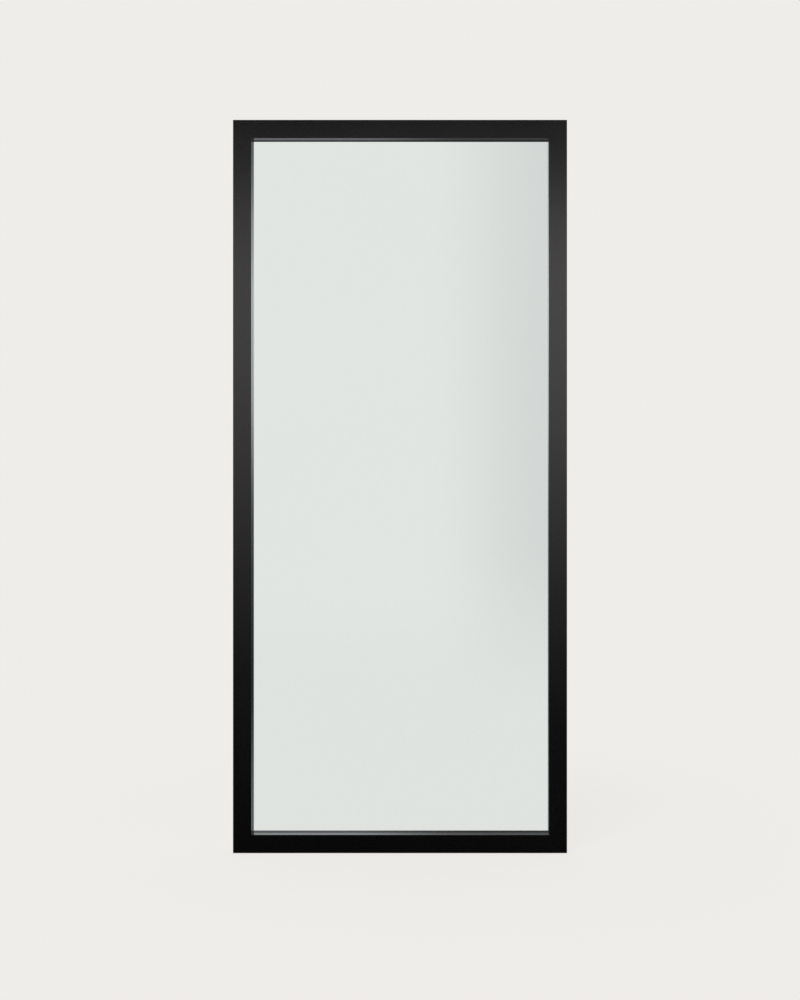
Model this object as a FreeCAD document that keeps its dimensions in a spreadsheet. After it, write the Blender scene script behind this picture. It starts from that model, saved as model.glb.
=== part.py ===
import FreeCAD, Part
import math
import os

import Sketcher
from FreeCAD import Rotation, Vector

# Leaning floor mirror: a mitred black frame round a silvered glass that sits deep behind the front lip.
#
# Millimetres. +Z is up, the glass faces -Y, and X runs to the right of someone who looks into the mirror.
# The origin lies on the floor, under the middle of the mirror's width and depth. The mirror stands upright
# here: leaning is what its owner does with it.
#
# The frame's cross-section, from the outer edge (left) to the opening (right), front below:
#
#     back    +------+
#             | land |      panel_ledge: the back panel is screwed to it
#             |      +---+
#             |          |  the glass, its foam and its tape lie in this rabbet
#             |          +---+
#             |     lip      |
#     front   +--------------+

SIZES = (
    ("frame_width", 820, "outside width of the frame"),
    ("frame_height", 1800, "outside height of the frame"),
    ("frame_depth", 40, "thickness of the frame, front to back"),
    ("face_width", 45, "width of the moulding's front face"),
    ("lip_depth", 20, "front lip, from the face to the glass rabbet"),
    ("glass_bite", 7, "how far the lip covers the glass rabbet"),
    ("panel_ledge", 10, "width of the step that the back panel lies on"),
    ("arris_radius", 1, "rounding of the moulding's long edges"),
    ("tape_thickness", 1, "glazing tape between the lip and the glass"),
    ("tape_width", 4, "width of the glazing tape"),
    ("tape_setback", 0.8, "tape's distance behind the edge of the lip"),
    ("glass_thickness", 5, "silvered glass"),
    ("glass_gap", 2, "space round the glass, filled by blocks and spacers"),
    ("glass_seam", 0.6, "chamfer ground on the edges of the glass"),
    ("foam_thickness", 4, "soft sheet behind the glass"),
    ("panel_thickness", 4, "back panel"),
    ("panel_gap", 1, "space round the back panel"),
    ("block_length", 60, "setting block under the glass"),
    ("block_inset", 150, "middle of a setting block from the glass's corner"),
    ("spacer_length", 40, "spacer beside or above the glass"),
    ("spacer_inset", 300, "middle of a side spacer from the glass's corner"),
    ("biscuit_length", 47, "loose tongue in each mitre"),
    ("biscuit_width", 15, "loose tongue across the mitre"),
    ("biscuit_thickness", 4, "loose tongue"),
    ("biscuit_depth", 10, "middle of the tongue behind the front face"),
    ("biscuit_slack", 0.1, "space on each face of a tongue, for glue"),
    ("cutter_radius", 50, "cutter that makes the slots for the tongues"),
    ("slot_spare", 0.5, "slot's extra reach past the tongue"),
    ("plate_leg", 80, "length of each leg of a corner plate"),
    ("plate_width", 20, "width of each leg of a corner plate"),
    ("plate_thickness", 2, "corner plate"),
    ("plate_corner_radius", 4, "rounding of a corner plate's outline"),
    ("plate_hole_near", 35, "first hole from the corner of a corner plate"),
    ("plate_hole_far", 67, "second hole from the corner of a corner plate"),
    ("plate_screw_diameter", 4, "countersunk screw of the corner plates"),
    ("plate_screw_length", 20, "countersunk screw of the corner plates"),
    ("plate_screw_head", 7.6, "its head across"),
    ("countersink_angle", 90, "full angle of that head, in degrees"),
    ("panel_screw_diameter", 3, "pan-head screw of the back panel"),
    ("panel_screw_length", 16, "pan-head screw of the back panel, under its head"),
    ("panel_screw_head", 5.8, "its head across"),
    ("panel_screw_inset", 90, "outermost panel screws from the frame's corner"),
    ("panel_screw_spacing", 270, "usual distance from one panel screw to the next"),
    ("fixing_screw_diameter", 3.5, "pan-head screw of the hangers and bumpers"),
    ("fixing_screw_length", 18, "the same screw, under its head"),
    ("fixing_screw_head", 6.9, "its head across"),
    ("pan_height", 2.2, "height of every pan head"),
    ("screw_point", 4, "length of a screw's point"),
    ("pilot_clearance", 0.05, "pilot hole round its screw"),
    ("pilot_spare", 1.5, "pilot hole past the screw's point"),
    ("hole_clearance", 0.25, "hole in a plate, strap or panel round its screw"),
    ("hanger_inset", 360, "ring's axis below the top of the frame"),
    ("wire_diameter", 2.5, "steel wire of the ring"),
    ("ring_width", 24, "ring across, from wire centre to wire centre"),
    ("ring_side", 6, "straight sides of the ring, from its axis"),
    ("ring_corner_radius", 3, "ring's two tight bends, at the wire's centre"),
    ("ring_clearance", 0.08, "space round the wire in the strap's eye"),
    ("ring_rest_gap", 0.3, "space under the ring where it hangs over the strap"),
    ("strap_sheet", 1.2, "sheet that is folded double to make the strap"),
    ("strap_width", 10, "hanger strap"),
    ("strap_length", 36, "hanger strap, from the ring's axis to its lower end"),
    ("strap_hole_near", 8, "first screw below the ring's axis"),
    ("strap_hole_far", 27, "second screw below the ring's axis"),
    ("strap_fold_radius", 1.5, "bend where the eye runs into the strap"),
    ("strap_end_radius", 4, "rounded lower corners of the strap"),
    ("bumper_diameter", 16, "rubber wall bumper where it meets the frame"),
    ("bumper_tip_diameter", 13, "rubber wall bumper where it meets the wall"),
    ("bumper_height", 8, "how far a bumper stands off the frame"),
    ("bumper_seat", 3, "rubber left under the screw's head"),
    ("bumper_recess", 8, "diameter of the recess for the screw's head"),
    ("bumper_inset", 120, "bumper's middle from the side of the frame"),
    ("floor_pad_length", 120, "rubber pad under the bottom rail"),
    ("floor_pad_depth", 33, "the same pad, front to back"),
    ("floor_pad_thickness", 1.5, "the same pad"),
    ("floor_pad_setback", 6, "pad's distance behind the front face"),
    ("floor_pad_inset", 30, "pad's end from the side of the frame"),
    ("floor_pad_radius", 5, "rounded corners of the pad"),
)

# Depths behind the front face
LEDGE_DEPTH = "(Sizes.lip_depth + Sizes.tape_thickness + Sizes.glass_thickness + Sizes.foam_thickness)"
GLASS_DEPTH = "(Sizes.lip_depth + Sizes.tape_thickness)"

# Distances from the frame's outer edge towards the opening
RABBET = "(Sizes.face_width - Sizes.glass_bite)"
LAND = "(Sizes.face_width - Sizes.glass_bite - Sizes.panel_ledge)"
LAND_MIDDLE = f"({LAND} / 2)"
LEDGE_MIDDLE = f"({LAND} + Sizes.panel_ledge / 2)"
MITRE_MIDDLE = "(Sizes.face_width / 2)"

# Places in the mirror's own axes
FRONT = "(-(Sizes.frame_depth + Sizes.bumper_height) / 2)"
BACK = f"({FRONT} + Sizes.frame_depth)"
BOTTOM = "Sizes.floor_pad_thickness"
MIDDLE = f"({BOTTOM} + Sizes.frame_height / 2)"
TOP = f"({BOTTOM} + Sizes.frame_height)"
HALF_WIDTH = "(Sizes.frame_width / 2)"
HALF_HEIGHT = "(Sizes.frame_height / 2)"

# The eye of a hanger strap, and how far its axis stands off the back of the frame
EYE_RADIUS = "(Sizes.wire_diameter / 2 + Sizes.ring_clearance)"
KNUCKLE_RADIUS = f"({EYE_RADIUS} + Sizes.strap_sheet)"
STRAP_THICKNESS = "(2 * Sizes.strap_sheet)"
HANGER_HEIGHT = f"({TOP} - Sizes.hanger_inset)"

# How far a piece at each corner is turned about Y, from the way it lies at the bottom left corner
CORNERS = {"bottom_left": 0, "bottom_right": -90, "top_right": 180, "top_left": 90}
SIDES = {"left": -1, "right": 1}


# ---- document and sketch helpers ----

def make_sizes(doc):
    """Put every driving size into the spreadsheet under its own alias."""
    sheet = doc.addObject("Spreadsheet::Sheet", "Sizes")
    for row, (alias, value, meaning) in enumerate(SIZES, 1):
        sheet.set(f"A{row}", alias)
        sheet.set(f"B{row}", str(value))
        sheet.set(f"C{row}", meaning)
        sheet.setAlias(f"B{row}", alias)
    doc.recompute()
    return sheet


def number(thing, text):
    """The present value of an expression."""
    return float(thing.evalExpression(text))


def bind(thing, **properties):
    """Tie properties to expressions. A double underscore in a name stands for a full stop."""
    for name, text in properties.items():
        thing.setExpression(name.replace("__", "."), text)


def place(thing, across, back, up, turn=0):
    """Tie an object's position to expressions and turn it about Y by a fixed number of degrees."""
    thing.Placement.Rotation = Rotation(Vector(0, 1, 0), turn)
    bind(thing, Placement__Base__x=across, Placement__Base__y=back, Placement__Base__z=up)


def new_body(doc, label):
    body = doc.addObject("PartDesign::Body", label)
    body.Label = label
    return body


def new_sketch(body, name, plane, lift="0"):
    """A sketch on one of the body's origin planes, lifted along the plane's normal."""
    sketch = body.newObject("Sketcher::SketchObject", name)
    origin_plane = next(each for each in body.Origin.OriginFeatures if each.Role == plane)
    sketch.AttachmentSupport = [(origin_plane, "")]
    sketch.MapMode = "FlatFace"
    bind(sketch, AttachmentOffset__Base__z=lift)
    return sketch


def depth_sketch(body, name, depth="0"):
    """A sketch that lies square to Y, a depth behind the body's own front."""
    return new_sketch(body, name, "XZ_Plane", f"-({depth})")


def dimension(sketch, text, kind, *where):
    """Add one driving dimension to a sketch."""
    index = sketch.addConstraint(Sketcher.Constraint(kind, *where, number(sketch, text)))
    sketch.setExpression(f"Constraints[{index}]", text)


def pin(sketch, geometry, point, across, up):
    """Dimension a point of a sketch from the sketch's origin."""
    dimension(sketch, across, "DistanceX", -1, 1, geometry, point)
    dimension(sketch, up, "DistanceY", -1, 1, geometry, point)


def spot(sketch, across, up):
    return Vector(number(sketch, across), number(sketch, up), 0)


def add_outline(sketch, corners):
    """Draw a closed outline of straight lines through corners that are pairs of expressions."""
    spots = [spot(sketch, across, up) for across, up in corners]
    first = sketch.GeometryCount
    for start, end in zip(spots, spots[1:] + spots[:1]):
        sketch.addGeometry(Part.LineSegment(start, end), False)
    for index, (across, up) in enumerate(corners):
        before = first + (index - 1) % len(corners)
        sketch.addConstraint(Sketcher.Constraint("Coincident", before, 2, first + index, 1))
        pin(sketch, first + index, 1, across, up)


def add_circle(sketch, across, up, diameter):
    radius = number(sketch, diameter) / 2
    circle = Part.Circle(spot(sketch, across, up), Vector(0, 0, 1), radius)
    geometry = sketch.addGeometry(circle, False)
    dimension(sketch, diameter, "Diameter", geometry)
    pin(sketch, geometry, 3, across, up)


def add_line(sketch, start, end):
    line = Part.LineSegment(spot(sketch, *start), spot(sketch, *end))
    geometry = sketch.addGeometry(line, False)
    pin(sketch, geometry, 1, *start)
    pin(sketch, geometry, 2, *end)
    return geometry


def add_arc(sketch, centre, radius, first_angle, last_angle, first_end, last_end):
    """Draw an arc between two ends of lines, each given as (geometry, point)."""
    circle = Part.Circle(spot(sketch, *centre), Vector(0, 0, 1), number(sketch, radius))
    angles = math.radians(first_angle), math.radians(last_angle)
    geometry = sketch.addGeometry(Part.ArcOfCircle(circle, *angles), False)
    sketch.addConstraint(Sketcher.Constraint("Coincident", geometry, 1, *first_end))
    sketch.addConstraint(Sketcher.Constraint("Coincident", geometry, 2, *last_end))
    dimension(sketch, centre[1], "DistanceY", -1, 1, geometry, 3)


def centred_rectangle(width, height):
    """Corners of a rectangle round the origin."""
    across, up = f"({width}) / 2", f"({height}) / 2"
    return [(f"-{across}", f"-{up}"), (across, f"-{up}"), (across, up), (f"-{across}", up)]


# ---- feature helpers ----

def add_pad(body, name, sketch, length, side="One side", backwards=True):
    """Pad a sketch. Backwards from a depth sketch is towards +Y."""
    pad = body.newObject("PartDesign::Pad", name)
    pad.Profile = sketch
    pad.SideType = side
    pad.Reversed = backwards
    bind(pad, Length=length)
    body.Document.recompute()
    return pad


def add_pocket(body, name, sketch, length=None, side="One side", backwards=False):
    """Pocket a sketch, right through if no length is given."""
    pocket = body.newObject("PartDesign::Pocket", name)
    pocket.Profile = sketch
    pocket.SideType = side
    pocket.Reversed = backwards
    if length is None:
        pocket.Type = "ThroughAll"
    else:
        bind(pocket, Length=length)
    body.Document.recompute()
    return pocket


def edges_where(feature, wanted):
    """Names of a feature's edges whose middle and direction suit."""
    names = []
    for index, edge in enumerate(feature.Shape.Edges, 1):
        middle = edge.valueAt((edge.FirstParameter + edge.LastParameter) / 2)
        direction = edge.tangentAt(edge.FirstParameter)
        if wanted(middle, direction):
            names.append(f"Edge{index}")
    return names


def add_fillet(body, name, feature, wanted, radius):
    fillet = body.newObject("PartDesign::Fillet", name)
    fillet.Base = (feature, edges_where(feature, wanted))
    bind(fillet, Radius=radius)
    body.Document.recompute()
    return fillet


def drill(body, name, depth, spots, diameter, length):
    """Drill pilot holes into the back, from a plane at a depth behind the front, towards the front."""
    sketch = depth_sketch(body, name + "_centres", depth)
    for across, up in spots:
        add_circle(sketch, across, up, diameter)
    body.Document.recompute()
    hole = body.newObject("PartDesign::Hole", name)
    hole.Profile = sketch
    body.Document.recompute()
    hole.Reversed = True
    hole.DepthType = "Dimension"
    hole.DrillPoint = "Angled"
    bind(hole, Diameter=diameter, Depth=length)
    body.Document.recompute()
    return hole


def pilot(screw):
    """Diameter of the pilot hole for one kind of screw."""
    return f"Sizes.{screw}_diameter + 2 * Sizes.pilot_clearance"


def through(screw):
    """Diameter of the clearance hole for one kind of screw."""
    return f"Sizes.{screw}_diameter + 2 * Sizes.hole_clearance"


def add_block(doc, name, size, corner):
    """A plain block from its lowest corner."""
    block = doc.addObject("Part::Box", name)
    bind(block, Length=size[0], Width=size[1], Height=size[2])
    place(block, *corner)
    return block


def gather(doc, label, members):
    """Several loose solids that share one name."""
    group = doc.addObject("Part::Compound", label)
    group.Links = members
    return group


# ---- frame ----

def spread(sheet, length):
    """Places of the panel screws along a side of the frame, from the middle of that side."""
    span = f"(Sizes.{length} - 2 * Sizes.panel_screw_inset)"
    gaps = max(1, round(number(sheet, f"{span} / Sizes.panel_screw_spacing")))
    return [f"{span} * {index / gaps - 0.5}" for index in range(gaps + 1)]


def plate_spots(half_length):
    """Places of the corner plates' screws along a member, from its middle."""
    inset = f"({LAND_MIDDLE} - Sizes.plate_width / 2)"
    spots = []
    for hole in ("near", "far"):
        along = f"({half_length} - {inset} - Sizes.plate_hole_{hole})"
        spots += [f"-{along}", along]
    return spots


def make_member(doc, sheet, label, length):
    """A rail or stile of the frame: a stepped moulding, mitred, slotted and drilled for plates and panel.

    Its own axes: X along the length from the middle, Y from front to back, Z from the outer edge inwards.
    """
    body = new_body(doc, label)
    half_length = f"(Sizes.{length} / 2)"

    profile = new_sketch(body, "moulding", "YZ_Plane")
    depth = "Sizes.frame_depth"
    add_outline(profile, [
        ("0", "0"), (depth, "0"), (depth, LAND), (LEDGE_DEPTH, LAND), (LEDGE_DEPTH, RABBET),
        ("Sizes.lip_depth", RABBET), ("Sizes.lip_depth", "Sizes.face_width"), ("0", "Sizes.face_width"),
    ])
    bar = add_pad(body, "bar", profile, f"Sizes.{length}", "Symmetric")

    rounded = {(0, 0), (number(sheet, depth), 0), (0, number(sheet, "Sizes.face_width"))}

    def long_edge(middle, direction):
        return abs(direction.x) > 0.9 and (round(middle.y, 3), round(middle.z, 3)) in rounded

    add_fillet(body, "arrises", bar, long_edge, "Sizes.arris_radius")

    mitres = depth_sketch(body, "mitre_lines")
    for sign in ("", "-"):
        outer = (f"{sign}({half_length} + Sizes.face_width)", "-Sizes.face_width")
        inner = (f"{sign}({half_length} - 2 * Sizes.face_width)", "2 * Sizes.face_width")
        add_outline(mitres, [outer, inner, (outer[0], inner[1])])
    add_pocket(body, "mitres", mitres)

    slots = depth_sketch(body, "slot_circles", "Sizes.biscuit_depth")
    reach = "(Sizes.cutter_radius - Sizes.biscuit_width / 2 - Sizes.slot_spare) * sqrt(0.5)"
    for sign in ("", "-"):
        along = f"{sign}({half_length} - {MITRE_MIDDLE} + {reach})"
        add_circle(slots, along, f"{MITRE_MIDDLE} + {reach}", "2 * Sizes.cutter_radius")
    add_pocket(body, "biscuit_slots", slots, "Sizes.biscuit_thickness + 2 * Sizes.biscuit_slack", "Symmetric")

    corner_spots = [(along, LAND_MIDDLE) for along in plate_spots(half_length)]
    drill(body, "plate_pilots", depth, corner_spots, pilot("plate_screw"),
          "Sizes.plate_screw_length - Sizes.plate_thickness + Sizes.pilot_spare")
    panel_spots = [(along, LEDGE_MIDDLE) for along in spread(sheet, length)]
    drill(body, "panel_pilots", LEDGE_DEPTH, panel_spots, pilot("panel_screw"),
          "Sizes.panel_screw_length - Sizes.panel_thickness + Sizes.pilot_spare")
    return body


def make_rail(doc, sheet, label, height, turn):
    """A mitred rail, with pilot holes for the two wall bumpers on it."""
    rail = make_member(doc, sheet, label, "frame_width")
    along = f"({HALF_WIDTH} - Sizes.bumper_inset)"
    drill(rail, "bumper_pilots", "Sizes.frame_depth", [(f"-{along}", LAND_MIDDLE), (along, LAND_MIDDLE)],
          pilot("fixing_screw"), "Sizes.fixing_screw_length - Sizes.bumper_seat + Sizes.pilot_spare")
    place(rail, "0", FRONT, height, turn)
    return rail


def make_stile(doc, sheet, side):
    """A mitred stile, with pilot holes for its hanger strap."""
    sign = SIDES[side]
    stile = make_member(doc, sheet, f"{side}_stile", "frame_height")
    spots = []
    for hole in ("near", "far"):
        up = f"({HALF_HEIGHT} - Sizes.hanger_inset - Sizes.strap_hole_{hole})"
        spots.append((f"{sign} * {up}", LAND_MIDDLE))
    drill(stile, "hanger_pilots", "Sizes.frame_depth", spots, pilot("fixing_screw"),
          f"Sizes.fixing_screw_length - {STRAP_THICKNESS} + Sizes.pilot_spare")
    place(stile, f"{sign} * {HALF_WIDTH}", FRONT, MIDDLE, -90 * sign)
    return stile


def make_frame(doc, sheet):
    rails = [
        make_rail(doc, sheet, "top_rail", TOP, 180),
        make_rail(doc, sheet, "bottom_rail", BOTTOM, 0),
    ]
    return rails + [make_stile(doc, sheet, side) for side in SIDES]


def corner_place(corner, inset):
    """Where a point lies that is inset from both outer edges at a corner of the frame."""
    across = f"({HALF_WIDTH} - {inset})"
    if corner.endswith("left"):
        across = f"-{across}"
    up = f"({TOP} - {inset})" if corner.startswith("top") else f"({BOTTOM} + {inset})"
    return across, up


def make_biscuit(doc, corner):
    """The loose tongue in a mitre: the lens that two round discs have in common."""
    radius = "(Sizes.biscuit_length ^ 2 + Sizes.biscuit_width ^ 2) / (4 * Sizes.biscuit_width)"
    discs = []
    for sign in (-1, 1):
        disc = doc.addObject("Part::Cylinder", f"disc_{corner}")
        bind(disc, Radius=radius, Height="Sizes.biscuit_thickness")
        disc.Placement.Rotation = Rotation(Vector(1, 0, 0), 90)
        bind(disc, Placement__Base__y="Sizes.biscuit_thickness / 2",
             Placement__Base__z=f"{sign} * ({radius} - Sizes.biscuit_width / 2)")
        discs.append(disc)
    biscuit = doc.addObject("Part::Common", f"biscuit_{corner}")
    biscuit.Base, biscuit.Tool = discs
    across, up = corner_place(corner, MITRE_MIDDLE)
    slope = -45 if corner in ("bottom_left", "top_right") else 45
    place(biscuit, across, f"{FRONT} + Sizes.biscuit_depth", up, slope)
    return biscuit


def make_corner_plate(doc, corner):
    """A flat steel angle with four countersunk holes, screwed across the mitre on the back."""
    plate = new_body(doc, f"corner_plate_{corner}")
    outline = depth_sketch(plate, "angle")
    leg, width = "Sizes.plate_leg", "Sizes.plate_width"
    add_outline(outline, [("0", "0"), (leg, "0"), (leg, width), (width, width), (width, leg), ("0", leg)])
    flat = add_pad(plate, "flat", outline, "Sizes.plate_thickness")

    def upright_edge(middle, direction):
        return abs(direction.y) > 0.9

    add_fillet(plate, "corners", flat, upright_edge, "Sizes.plate_corner_radius")

    centres = depth_sketch(plate, "hole_centres", "Sizes.plate_thickness")
    for hole in ("near", "far"):
        along = f"Sizes.plate_hole_{hole}"
        add_circle(centres, along, f"{width} / 2", through("plate_screw"))
        add_circle(centres, f"{width} / 2", along, through("plate_screw"))
    doc.recompute()
    holes = plate.newObject("PartDesign::Hole", "countersunk_holes")
    holes.Profile = centres
    doc.recompute()
    holes.Reversed = True
    holes.DepthType = "ThroughAll"
    holes.HoleCutType = "Countersink"
    holes.HoleCutCustomValues = True
    bind(holes, Diameter=through("plate_screw"), HoleCutCountersinkAngle="Sizes.countersink_angle",
         HoleCutDiameter="Sizes.plate_screw_head + 2 * Sizes.hole_clearance")

    across, up = corner_place(corner, f"({LAND_MIDDLE} - {width} / 2)")
    place(plate, across, BACK, up, CORNERS[corner])
    return plate


# ---- glass and what holds it ----

def make_sheet(doc, label, width, height, thickness, depth):
    """A flat sheet in the middle of the frame, its front a depth behind the frame's front."""
    body = new_body(doc, label)
    outline = depth_sketch(body, "outline")
    add_outline(outline, centred_rectangle(width, height))
    add_pad(body, "thickness", outline, thickness)
    place(body, "0", f"{FRONT} + {depth}", MIDDLE)
    return body


GLASS_WIDTH = f"(Sizes.frame_width - 2 * ({RABBET} + Sizes.glass_gap))"
GLASS_HEIGHT = f"(Sizes.frame_height - 2 * ({RABBET} + Sizes.glass_gap))"


def make_glass(doc):
    """The silvered glass, with seamed edges."""
    glass = make_sheet(doc, "mirror_glass", GLASS_WIDTH, GLASS_HEIGHT, "Sizes.glass_thickness", GLASS_DEPTH)
    sheet = glass.Tip

    def rim(middle, direction):
        return abs(direction.y) < 0.1

    seam = glass.newObject("PartDesign::Chamfer", "seamed_edges")
    seam.Base = (sheet, edges_where(sheet, rim))
    bind(seam, Size="Sizes.glass_seam")
    return glass


def make_back_panel(doc, sheet):
    """The thin board that closes the back, drilled for its screws."""
    width = f"(Sizes.frame_width - 2 * ({LAND} + Sizes.panel_gap))"
    height = f"(Sizes.frame_height - 2 * ({LAND} + Sizes.panel_gap))"
    panel = make_sheet(doc, "back_panel", width, height, "Sizes.panel_thickness", LEDGE_DEPTH)
    centres = depth_sketch(panel, "hole_centres")
    for across, up in panel_screw_spots(sheet):
        add_circle(centres, across, up, through("panel_screw"))
    add_pocket(panel, "screw_holes", centres)
    return panel


def panel_screw_spots(sheet):
    """Where the panel's screws stand, from the middle of the frame."""
    side = f"({HALF_WIDTH} - {LEDGE_MIDDLE})"
    end = f"({HALF_HEIGHT} - {LEDGE_MIDDLE})"
    spots = [(across, sign + end) for across in spread(sheet, "frame_width") for sign in ("", "-")]
    return spots + [(sign + side, up) for up in spread(sheet, "frame_height") for sign in ("", "-")]


def make_tapes(doc):
    """Four strips of glazing tape on the back of the lip. The upright strips stop at the level ones."""
    margin = f"({RABBET} + Sizes.glass_bite - Sizes.tape_setback - Sizes.tape_width)"
    thickness, width = "Sizes.tape_thickness", "Sizes.tape_width"
    level = f"Sizes.frame_width - 2 * {margin}"
    upright = f"Sizes.frame_height - 2 * ({margin} + {width})"
    behind = f"{FRONT} + Sizes.lip_depth"
    left = f"-{HALF_WIDTH} + {margin}"
    right = f"{HALF_WIDTH} - {margin} - {width}"
    above = f"{TOP} - {margin} - {width}"
    below = f"{BOTTOM} + {margin}"
    foot = f"{below} + {width}"
    return [
        add_block(doc, "glazing_tape_top", (level, thickness, width), (left, behind, above)),
        add_block(doc, "glazing_tape_bottom", (level, thickness, width), (left, behind, below)),
        add_block(doc, "glazing_tape_left", (width, thickness, upright), (left, behind, foot)),
        add_block(doc, "glazing_tape_right", (width, thickness, upright), (right, behind, foot)),
    ]


def level_blocks(doc, label, length, floor):
    """Two blocks below or above the glass, each a fixed way in from its corners."""
    blocks = []
    for sign in (-1, 1):
        across = f"{sign} * ({GLASS_WIDTH} / 2 - Sizes.block_inset) - {length} / 2"
        size = (length, "Sizes.glass_thickness", "Sizes.glass_gap")
        blocks.append(add_block(doc, f"{label}_block", size, (across, f"{FRONT} + {GLASS_DEPTH}", floor)))
    return gather(doc, label, blocks)


def side_spacers(doc):
    """Two spacers beside each long edge of the glass."""
    size = ("Sizes.glass_gap", "Sizes.glass_thickness", "Sizes.spacer_length")
    spacers = []
    for start in (f"-{HALF_WIDTH} + {RABBET}", f"{HALF_WIDTH} - {RABBET} - Sizes.glass_gap"):
        for sign in (-1, 1):
            up = f"{MIDDLE} + {sign} * ({GLASS_HEIGHT} / 2 - Sizes.spacer_inset) - Sizes.spacer_length / 2"
            spacers.append(add_block(doc, "side_spacer", size, (start, f"{FRONT} + {GLASS_DEPTH}", up)))
    return gather(doc, "side_spacers", spacers)


def make_glazing(doc, sheet):
    foam = make_sheet(doc, "backing_foam", GLASS_WIDTH, GLASS_HEIGHT, "Sizes.foam_thickness",
                      f"{GLASS_DEPTH} + Sizes.glass_thickness")
    return make_tapes(doc) + [
        make_glass(doc),
        foam,
        make_back_panel(doc, sheet),
        level_blocks(doc, "setting_blocks", "Sizes.block_length", f"{BOTTOM} + {RABBET}"),
        level_blocks(doc, "top_spacers", "Sizes.spacer_length", f"{TOP} - {RABBET} - Sizes.glass_gap"),
        side_spacers(doc),
    ]


# ---- hangers ----

def make_hanger_strap(doc, side):
    """Sheet folded double round the ring's wire and screwed flat to the stile. Its axes start at the wire."""
    strap = new_body(doc, f"{side}_hanger_strap")
    folded = new_sketch(strap, "folded_sheet", "YZ_Plane")
    behind = f"-{KNUCKLE_RADIUS}"
    front = f"({behind} + {STRAP_THICKNESS})"
    lower = "-Sizes.strap_length"
    add_outline(folded, [(behind, "0"), (behind, lower), (front, lower), (front, "0")])
    add_pad(strap, "leaf", folded, "Sizes.strap_width", "Symmetric")
    curl = new_sketch(strap, "curl", "YZ_Plane")
    add_circle(curl, "0", "0", f"2 * {KNUCKLE_RADIUS}")
    knuckle = add_pad(strap, "knuckle", curl, "Sizes.strap_width", "Symmetric")

    front_depth = number(strap, front)
    lower_end = number(strap, lower)

    def fold_edge(middle, direction):
        return abs(direction.x) > 0.9 and abs(middle.y - front_depth) < 0.01 and middle.z > lower_end / 2

    fold = add_fillet(strap, "fold", knuckle, fold_edge, "Sizes.strap_fold_radius")

    def lower_corner(middle, direction):
        return abs(direction.y) > 0.9 and abs(middle.z - lower_end) < 0.01

    add_fillet(strap, "lower_corners", fold, lower_corner, "Sizes.strap_end_radius")
    eye = new_sketch(strap, "eye_circle", "YZ_Plane")
    add_circle(eye, "0", "0", f"2 * {EYE_RADIUS}")
    add_pocket(strap, "eye", eye, side="Symmetric")
    centres = depth_sketch(strap, "hole_centres", behind)
    for hole in ("near", "far"):
        add_circle(centres, "0", f"-Sizes.strap_hole_{hole}", through("fixing_screw"))
    add_pocket(strap, "screw_holes", centres)
    place(strap, hanger_across(side), f"{BACK} + {KNUCKLE_RADIUS}", HANGER_HEIGHT)
    return strap


def hanger_across(side):
    return f"{SIDES[side]} * ({HALF_WIDTH} - {LAND_MIDDLE})"


def make_hanger_ring(doc, side):
    """A D of steel wire, closed through the strap's eye. It hangs down and lies over the strap."""
    ring = new_body(doc, f"{side}_hanger_ring")
    loop = new_sketch(ring, "loop", "XZ_Plane")
    half, bend = "(Sizes.ring_width / 2)", "Sizes.ring_corner_radius"
    straight, drop = f"({half} - {bend})", "Sizes.ring_side"
    right_top = add_line(loop, ("0", "0"), (straight, "0"))
    right_side = add_line(loop, (half, f"-{bend}"), (half, f"-{drop}"))
    left_side = add_line(loop, (f"-{half}", f"-{drop}"), (f"-{half}", f"-{bend}"))
    left_top = add_line(loop, (f"-{straight}", "0"), ("0", "0"))
    add_arc(loop, (straight, f"-{bend}"), bend, 0, 90, (right_side, 1), (right_top, 2))
    add_arc(loop, ("0", f"-{drop}"), half, 180, 360, (left_side, 1), (right_side, 2))
    add_arc(loop, (f"-{straight}", f"-{bend}"), bend, 90, 180, (left_top, 1), (left_side, 2))
    section = new_sketch(ring, "wire_section", "YZ_Plane")
    add_circle(section, "0", "0", "Sizes.wire_diameter")
    doc.recompute()
    wire = ring.newObject("PartDesign::AdditivePipe", "wire")
    wire.Profile = section
    wire.Spine = (loop, [])

    rise = f"({STRAP_THICKNESS} - {KNUCKLE_RADIUS} + Sizes.wire_diameter / 2 + Sizes.ring_rest_gap)"
    place(ring, hanger_across(side), f"{BACK} + {KNUCKLE_RADIUS}", HANGER_HEIGHT)
    ring.Placement.Rotation = Rotation(Vector(1, 0, 0), 1)
    bind(ring, Placement__Rotation__Angle=f"asin({rise} / ({drop} + {half}))")
    return ring


def make_hangers(doc):
    straps = [make_hanger_strap(doc, side) for side in SIDES]
    return straps + [make_hanger_ring(doc, side) for side in SIDES]


# ---- rubber ----

def make_bumper(doc, corner):
    """A turned rubber bumper with a deep seat for the head of its screw."""
    bumper = new_body(doc, f"wall_bumper_{corner}")
    profile = new_sketch(bumper, "half_section", "XY_Plane")
    bore = f"({through('fixing_screw')}) / 2"
    height, seat, recess = "Sizes.bumper_height", "Sizes.bumper_seat", "Sizes.bumper_recess / 2"
    add_outline(profile, [
        (bore, "0"), ("Sizes.bumper_diameter / 2", "0"), ("Sizes.bumper_tip_diameter / 2", height),
        (recess, height), (recess, seat), (bore, seat),
    ])
    turned = bumper.newObject("PartDesign::Revolution", "turned")
    turned.Profile = profile
    turned.ReferenceAxis = (profile, ["V_Axis"])
    place(bumper, *bumper_place(corner, "0"))
    return bumper


def bumper_place(corner, lift):
    """Where a bumper stands on its rail, or a point at a height above its foot."""
    sign = "-" if corner.endswith("left") else ""
    up = corner_place(corner, LAND_MIDDLE)[1]
    return f"{sign}({HALF_WIDTH} - Sizes.bumper_inset)", f"{BACK} + {lift}", up


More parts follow.
